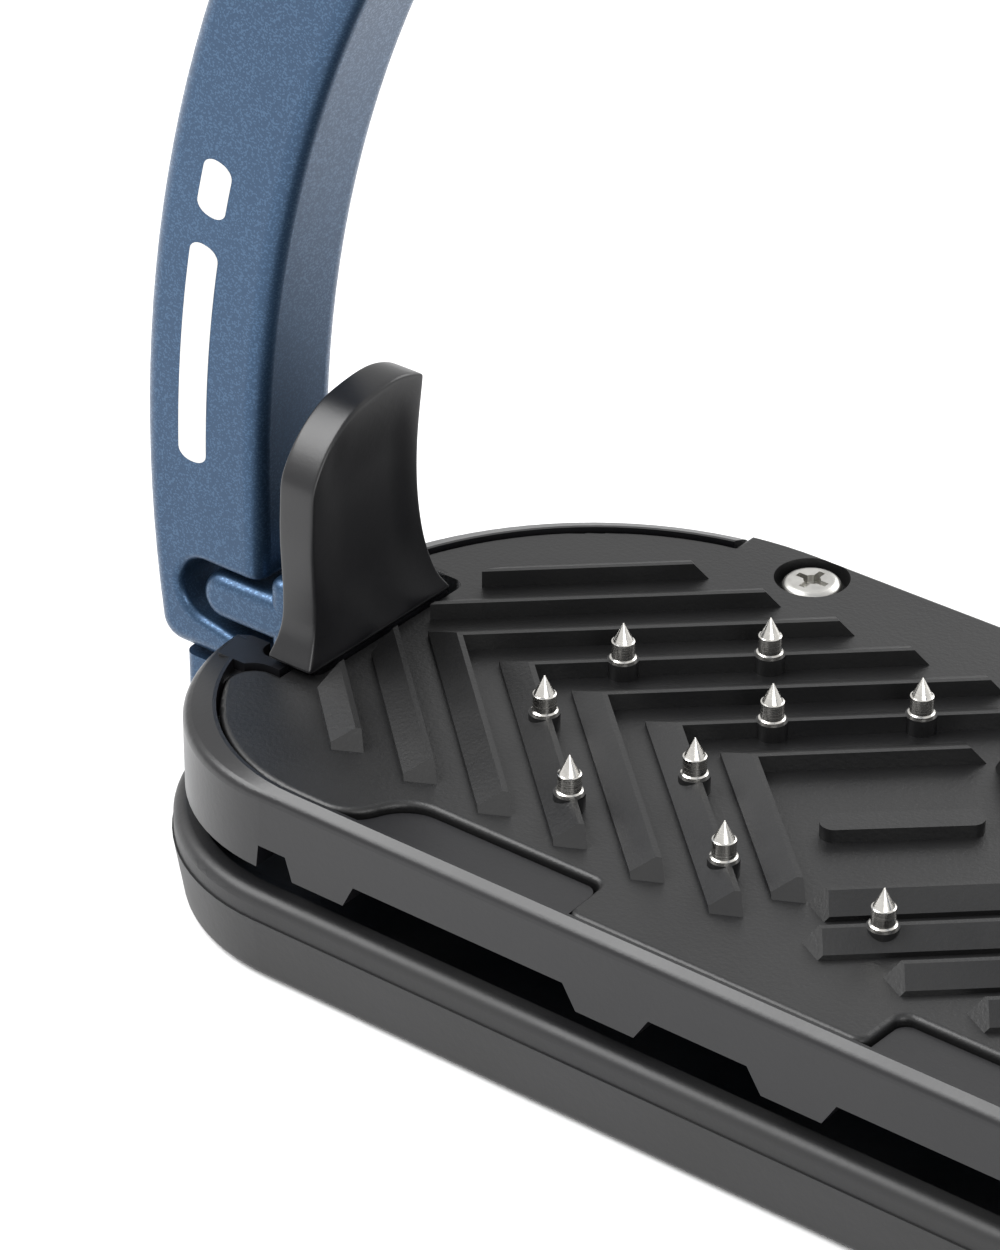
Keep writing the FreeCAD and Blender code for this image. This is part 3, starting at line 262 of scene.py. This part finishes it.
def end_edit():
    bpy.ops.object.mode_set(mode="OBJECT")


def pick_verts(obj, test):
    """Select just the vertices whose place passes the test."""
    bpy.ops.mesh.select_mode(type="VERT")
    bpy.ops.mesh.select_all(action="DESELECT")
    mesh = bmesh.from_edit_mesh(obj.data)
    for vert in mesh.verts:
        vert.select_set(test(vert.co))
    mesh.select_flush(True)
    bmesh.update_edit_mesh(obj.data)


def apply_modifier(obj, kind, **settings):
    deselect_all()
    obj.select_set(True)
    bpy.context.view_layer.objects.active = obj
    modifier = obj.modifiers.new(kind.lower(), kind)
    for label, value in settings.items():
        setattr(modifier, label, value)
    bpy.ops.object.modifier_apply(modifier=modifier.name)


def finish_piece(obj, name, body, material):
    """Place in the mesh, shading, material and body of a new piece."""
    deselect_all()
    obj.select_set(True)
    bpy.context.view_layer.objects.active = obj
    bpy.ops.object.transform_apply(location=True, rotation=True, scale=True)
    bpy.ops.object.shade_smooth_by_angle(angle=math.radians(SMOOTH_ANGLE))
    obj.name = name
    obj.data.name = name
    set_material(obj, material)
    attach(obj, body)
    return obj


def join_pieces(pieces):
    deselect_all()
    for piece in pieces:
        piece.select_set(True)
    bpy.context.view_layer.objects.active = pieces[0]
    bpy.ops.object.join()
    return bpy.context.object


# ---- materials -----------------------------------------------------------
BLUE = blue_metal("blue_satin_metal")
PLATE = plastic("tread_plate_grained", (0.0045, 0.0045, 0.005, 1), (0.009, 0.009, 0.009, 1),
                rough=(0.36, 0.46), grain_scale=2600.0, strength=0.8)
BED = plastic("tread_bed_satin", (0.004, 0.004, 0.005, 1), (0.007, 0.007, 0.008, 1),
              rough=(0.30, 0.38), grain_scale=1800.0, strength=0.3)
TRAY = plastic("tray_matt", (0.006, 0.006, 0.007, 1), (0.010, 0.010, 0.010, 1),
               rough=(0.44, 0.54), grain_scale=1500.0, strength=0.5)
LEVER = plastic("lever_satin", (0.004, 0.004, 0.005, 1), (0.006, 0.006, 0.007, 1),
                rough=(0.28, 0.36), grain_scale=1600.0, strength=0.25)
RUBBER = plastic("cushion_rubber", (0.012, 0.012, 0.012, 1), (0.020, 0.020, 0.020, 1),
                 rough=(0.70, 0.80), grain_scale=900.0, strength=0.6)
PRINT = plastic("pale_print", (0.62, 0.62, 0.60, 1), (0.68, 0.68, 0.66, 1),
                rough=(0.45, 0.55), grain_scale=2200.0, strength=0.3, specular=0.4)
STEEL = turned_steel("turned_stainless", (0.66, 0.65, 0.62), 0.28)
STUD = turned_steel("stud_stainless", (0.74, 0.72, 0.68), 0.20)
SPRING = turned_steel("spring_wire", (0.40, 0.40, 0.41), 0.35)
BRONZE = turned_steel("bush_bronze", (0.52, 0.36, 0.16), 0.38)

FINISHES = {
    "main_frame": BLUE, "release_arm": BLUE,
    "base_tray": TRAY, "tread_bed": BED, "tread_plate": PLATE,
    "release_lever": LEVER, "tread_cushions": RUBBER,
    "hinge_pin": STEEL, "hinge_screw": STEEL, "lever_pin": STEEL, "tray_screws": STEEL,
    "plate_screws": STEEL, "guide_screws": STEEL,
    "studs_left": STUD, "studs_right": STUD,
    "arm_spring": SPRING, "lever_springs": SPRING, "latch_claw": SPRING,
    "arm_bush": BRONZE, "guide_sleeves": BRONZE, "guide_inserts": BRONZE, "plate_inserts": BRONZE,
}
for name, material in FINISHES.items():
    set_material(node(name), material)


# ---- release lever -------------------------------------------------------
# The blade is drawn in millimetres and brought to metres when it is finished.
MM = 0.001
BLADE_BACK = -54.55          # face toward the arm
BLADE_FRONT = -50.95         # face toward the foot
BLADE_BEND = 20.0            # rows are level below this height and follow the crest above it
BLADE_TOP = 40.0             # height of the top row before it is lifted to the crest
BLADE_COLUMNS = 10
UPPER_ROWS = 10
LOW_ROWS = [13.4, 17.9, 18.3, 18.9, BLADE_BEND]
NEAR_EDGE = [(13.4, -10.3), (17.9, -10.3), (18.3, -11.9), (18.9, -11.6), (20.0, -10.95),
             (22.0, -10.45), (25.0, -10.3), (33.0, -10.6), (40.0, -10.3)]
FAR_EDGE = [(13.4, 6.9), (17.9, 6.9), (18.9, 6.2), (20.0, 5.4), (23.4, 4.1), (27.0, 3.3),
            (31.0, 3.0), (35.0, 3.2), (40.0, 4.0)]
CREST = [(0.0, 34.6), (0.12, 37.3), (0.25, 38.9), (0.4, 39.9), (0.55, 40.3), (0.7, 40.5),
         (0.85, 40.4), (1.0, 39.4)]
FOOT_FLARE = [(18.3, 1.30), (18.9, 1.22), (20.0, 1.08)]
BLADE_HOLLOW = 0.35          # how deep the broad face is dished
HOLLOW_RIMS = (2.0, 3.6)     # flat rim round the dish, for each of its two steps
HOLLOW_FAR = 0.7             # rim on the far side, as a share of the near one
HOLLOW_TOP = 38.6
BLADE_BEVEL = 0.95
BARREL_R = 3.1
BARREL_PAST = 0.4            # barrel longer than the neck
BARREL_BEVEL = 0.4
NECK_HALF = 4.6
NECK_IN = 0.1                # neck thinner than the blade
NECK_BEVEL = 0.3
NECK_OVER = 1.0              # neck's top inside the blade's foot


def between(points, at):
    """Value at a place on the line through the points."""
    for (x0, y0), (x1, y1) in zip(points, points[1:]):
        if at <= x1:
            return y0 + (y1 - y0) * max(at - x0, 0.0) / (x1 - x0)
    return points[-1][1]


def make_blade():
    """Upright grid set to the blade's edges row by row, then given its thickness."""
    rise = (BLADE_TOP - BLADE_BEND) / UPPER_ROWS
    heights = LOW_ROWS + [BLADE_BEND + rise * step for step in range(1, UPPER_ROWS + 1)]
    deselect_all()
    bpy.ops.mesh.primitive_grid_add(x_subdivisions=len(heights) - 1, y_subdivisions=BLADE_COLUMNS,
                                    size=1.0, rotation=(0, math.pi / 2, 0))
    blade = bpy.context.object
    bpy.ops.object.transform_apply(location=True, rotation=True, scale=True)
    starts = sorted({round(v.co.z, 4) for v in blade.data.vertices})
    start_edit(blade)
    for start, height in reversed(list(zip(starts, heights))):
        near, far = between(NEAR_EDGE, height), between(FAR_EDGE, height)
        pick_verts(blade, lambda co: abs(co.z - start) < 0.001 and abs(co.y) < 0.6)
        bpy.ops.transform.resize(value=(1, far - near, 1), center_override=(0, 0, start))
        bpy.ops.transform.translate(value=(BLADE_FRONT, (near + far) / 2, height - start))
    lift_to_crest(blade)
    end_edit()
    apply_modifier(blade, "SOLIDIFY", thickness=BLADE_FRONT - BLADE_BACK, offset=-1.0)
    return blade


def lift_to_crest(blade):
    """Stretch each column above the bend so that its top lies on the crest."""
    half_column = 0.5 / BLADE_COLUMNS
    for column in range(BLADE_COLUMNS + 1):
        share = column / BLADE_COLUMNS

        def in_column(co):
            near, far = between(NEAR_EDGE, co.z), between(FAR_EDGE, co.z)
            return co.z > BLADE_BEND + 0.1 and abs((co.y - near) / (far - near) - share) < half_column

        pick_verts(blade, in_column)
        stretch = (between(CREST, share) - BLADE_BEND) / (BLADE_TOP - BLADE_BEND)
        bpy.ops.transform.resize(value=(1, 1, stretch), center_override=(0, 0, BLADE_BEND))


def shape_blade(blade):
    """Flared foot, dished broad face and rounded edges."""
    start_edit(blade)
    middle = ((BLADE_FRONT + BLADE_BACK) / 2, 0, 0)
    for height, flare in FOOT_FLARE:
        pick_verts(blade, lambda co: abs(co.z - height) < 0.02)
        bpy.ops.transform.resize(value=(flare, 1, 1), center_override=middle)
    for rim in HOLLOW_RIMS:

        def on_face(co):
            near, far = between(NEAR_EDGE, co.z), between(FAR_EDGE, co.z)
            return (co.x > BLADE_FRONT - 1 and near + rim < co.y < far - rim * HOLLOW_FAR
                    and LOW_ROWS[3] + rim < co.z < HOLLOW_TOP - rim)

        pick_verts(blade, on_face)
        bpy.ops.transform.translate(value=(-BLADE_HOLLOW / len(HOLLOW_RIMS), 0, 0))
    end_edit()
    apply_modifier(blade, "BEVEL", width=BLADE_BEVEL, segments=3, limit_method="ANGLE",
                   angle_limit=math.radians(50))
    apply_modifier(blade, "SUBSURF", levels=2, render_levels=2)


def make_release_lever():
    """Blade on the neck and barrel that turn on the lever's pin."""
    blade = make_blade()
    shape_blade(blade)
    low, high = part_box("lever_pin")
    pivot = (Vector(low) + Vector(high)) / 2 / MM
    bpy.ops.mesh.primitive_cylinder_add(radius=BARREL_R, depth=2 * NECK_HALF + BARREL_PAST, vertices=64,
                                        location=(pivot.x, 0, pivot.z), rotation=(math.pi / 2, 0, 0))
    barrel = bpy.context.object
    bpy.ops.object.transform_apply(location=True, rotation=True, scale=True)
    apply_modifier(barrel, "BEVEL", width=BARREL_BEVEL, segments=3, limit_method="ANGLE",
                   angle_limit=math.radians(60))
    neck_low, neck_high = pivot.z, LOW_ROWS[0] + NECK_OVER
    bpy.ops.mesh.primitive_cube_add(size=1.0, location=((BLADE_FRONT + BLADE_BACK) / 2, 0,
                                                        (neck_low + neck_high) / 2))
    neck = bpy.context.object
    start_edit(neck)
    bpy.ops.mesh.select_all(action="SELECT")
    bpy.ops.transform.resize(value=(BLADE_FRONT - BLADE_BACK - NECK_IN, 2 * NECK_HALF,
                                    neck_high - neck_low))
    bpy.ops.mesh.bevel(offset=NECK_BEVEL, segments=2, affect="EDGES")
    end_edit()
    lever = join_pieces([blade, barrel, neck])
    lever.scale = (MM, MM, MM)
    deselect_all()
    lever.select_set(True)
    bpy.ops.object.transform_apply(location=True, rotation=True, scale=True)
    finish_piece(lever, "release_lever_moulded", "lever", LEVER)
    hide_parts("release_lever")


make_release_lever()


# ---- wound springs -------------------------------------------------------
WIRE_SIDES = 12
TURN_STEPS = 32
SPRING_TURNS = 3


def wind_spring(name, x, z, y_start, mean_r, wire_r, turns):
    """Round wire wound about a line along Y, its ends closed."""
    deselect_all()
    bpy.ops.mesh.primitive_circle_add(vertices=WIRE_SIDES, radius=wire_r,
                                      location=(mean_r, wire_r, 0))
    wire = bpy.context.object
    bpy.ops.object.transform_apply(location=True, rotation=True, scale=True)
    pitch = 2 * wire_r
    apply_modifier(wire, "SCREW", axis="Y", angle=2 * math.pi, screw_offset=pitch, iterations=turns,
                   steps=TURN_STEPS, render_steps=TURN_STEPS)
    start_edit(wire)
    bpy.ops.mesh.select_all(action="SELECT")
    bpy.ops.mesh.remove_doubles(threshold=0.000001)
    bpy.ops.mesh.select_all(action="SELECT")
    bpy.ops.mesh.fill_holes(sides=0)
    bpy.ops.mesh.select_all(action="SELECT")
    bpy.ops.mesh.normals_make_consistent(inside=False)
    bpy.ops.transform.translate(value=(x, y_start, z))
    end_edit()
    wire.name = name
    return wire


def make_arm_spring():
    """Spring wound in the room that its plain sleeve holds."""
    low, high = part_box("arm_spring")
    wire_r = (high[1] - low[1]) / (2 * (SPRING_TURNS + 1))
    mean_r = (high[0] - low[0]) / 2 - wire_r
    arm = wind_spring("arm_spring_wound", (low[0] + high[0]) / 2, (low[2] + high[2]) / 2, low[1],
                      mean_r, wire_r, SPRING_TURNS)
    finish_piece(arm, "arm_spring_wound", "frame", SPRING)
    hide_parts("arm_spring")


make_arm_spring()


# ---- plain printed mark on the arm ---------------------------------------
PRINT_THICK = 0.00006
PRINT_CENTRE = (0.0485, -0.0050, 0.0270)    # middle of the arm's curve, on its -Y face
PRINT_RADIUS = 0.1172
PRINT_WIDTH = 0.0030
PRINT_BARS = ((1.0, 10.2), (12.6, 2.6))     # start and sweep of each bar, in degrees up the arm
PRINT_ROUND = 0.45                          # corner bevel as a share of a bar's width


def make_bar_print(sweep):
    """One bar spun along the arm's curve over sweep degrees, its corners rounded."""
    deselect_all()
    bpy.ops.mesh.primitive_plane_add(size=1.0, location=(-PRINT_RADIUS, 0, 0))
    bar = bpy.context.object
    bpy.ops.object.transform_apply(location=True, rotation=True, scale=True)
    start_edit(bar)
    pick_verts(bar, lambda co: co.y > 0)
    bpy.ops.mesh.delete(type="VERT")
    bpy.ops.mesh.select_all(action="SELECT")
    bpy.ops.transform.resize(value=(PRINT_WIDTH, 1, 1), center_override=(-PRINT_RADIUS, 0, 0))
    bpy.ops.transform.translate(value=(0, 0.5, 0))
    bpy.ops.mesh.spin(steps=max(2, round(sweep * 2)), angle=-math.radians(sweep), center=(0, 0, 0),
                      axis=(0, 1, 0))
    end = math.radians(sweep)
    ends = (Vector((-1, 0, 0)), Vector((-math.cos(end), 0, math.sin(end))))
    pick_verts(bar, lambda co: min(abs(co.normalized().angle(way)) for way in ends) < 0.0005)
    bpy.ops.mesh.bevel(offset=PRINT_WIDTH * PRINT_ROUND, segments=6, affect="VERTICES")
    end_edit()
    return bar


def make_arm_mark():
    """Two plain bars with rounded ends, printed on the -Y face of the arm."""
    bars = []
    for start, sweep in PRINT_BARS:
        bar = make_bar_print(sweep)
        bar.rotation_euler = (0, math.radians(start), 0)
        bar.location = PRINT_CENTRE
        deselect_all()
        bar.select_set(True)
        bpy.context.view_layer.objects.active = bar
        bpy.ops.object.transform_apply(location=True, rotation=True, scale=True)
        bars.append(bar)
    mark = join_pieces(bars)
    start_edit(mark)
    bpy.ops.mesh.select_all(action="SELECT")
    bpy.ops.mesh.normals_make_consistent(inside=False)
    end_edit()
    apply_modifier(mark, "SOLIDIFY", thickness=PRINT_THICK, offset=0.0)
    finish_piece(mark, "arm_print", "arm", PRINT)


make_arm_mark()


# ---- floor, light and camera ---------------------------------------------
FLOOR_SIZE = 6.0
FLOOR_DROP = 0.0002          # floor just under the object's base
WORLD_STRENGTH = 0.9
CAMERA_AZIMUTH = math.radians(38.48)
CAMERA_ELEVATION = math.radians(30.92)
CAMERA_TARGET = Vector((-0.03896, -0.00130, 0.0225))
CAMERA_DISTANCE = 0.4223
CAMERA_LENS = 149.76


def add_floor():
    deselect_all()
    bpy.ops.mesh.primitive_plane_add(size=FLOOR_SIZE, location=(0, 0, -FLOOR_DROP))
    floor = bpy.context.object
    floor.name = "floor"
    finish = {"Base Color": (0.86, 0.86, 0.86, 1), "Roughness": 0.9}
    floor.data.materials.append(start_material("pale_floor", finish)[0])


def add_area(name, place, target, size, power):
    light = bpy.data.lights.new(name, "AREA")
    light.shape = "RECTANGLE"
    light.size = size[0]
    light.size_y = size[1]
    light.energy = power
    obj = bpy.data.objects.new(name, light)
    bpy.context.scene.collection.objects.link(obj)
    way = Vector(target) - Vector(place)
    obj.rotation_euler = way.to_track_quat("-Z", "Y").to_euler()
    obj.location = place


def add_world():
    world = bpy.data.worlds.new("studio")
    bpy.context.scene.world = world
    world.use_nodes = True
    back = world.node_tree.nodes["Background"]
    back.inputs["Color"].default_value = (1, 1, 1, 1)
    back.inputs["Strength"].default_value = WORLD_STRENGTH


def add_camera():
    level = math.cos(CAMERA_ELEVATION)
    back = Vector((math.sin(CAMERA_AZIMUTH) * level, -math.cos(CAMERA_AZIMUTH) * level,
                   math.sin(CAMERA_ELEVATION)))
    data = bpy.data.cameras.new("camera")
    data.lens = CAMERA_LENS
    data.clip_start = 0.01
    camera = bpy.data.objects.new("camera", data)
    bpy.context.scene.collection.objects.link(camera)
    camera.location = CAMERA_TARGET + back * CAMERA_DISTANCE
    camera.rotation_euler = (-back).to_track_quat("-Z", "Y").to_euler()
    bpy.context.scene.camera = camera


add_floor()
add_world()
add_area("key", (-0.5, -0.3, 0.7), (0, 0, 0.03), (0.6, 0.6), 9.0)
add_area("fill", (0.7, -0.5, 0.35), (0, 0, 0.03), (0.5, 0.5), 3.0)
add_area("rim", (0.1, 0.8, 0.5), (0, 0, 0.05), (0.8, 0.4), 3.5)
add_camera()

view = bpy.context.scene.view_settings
view.view_transform = "Standard"
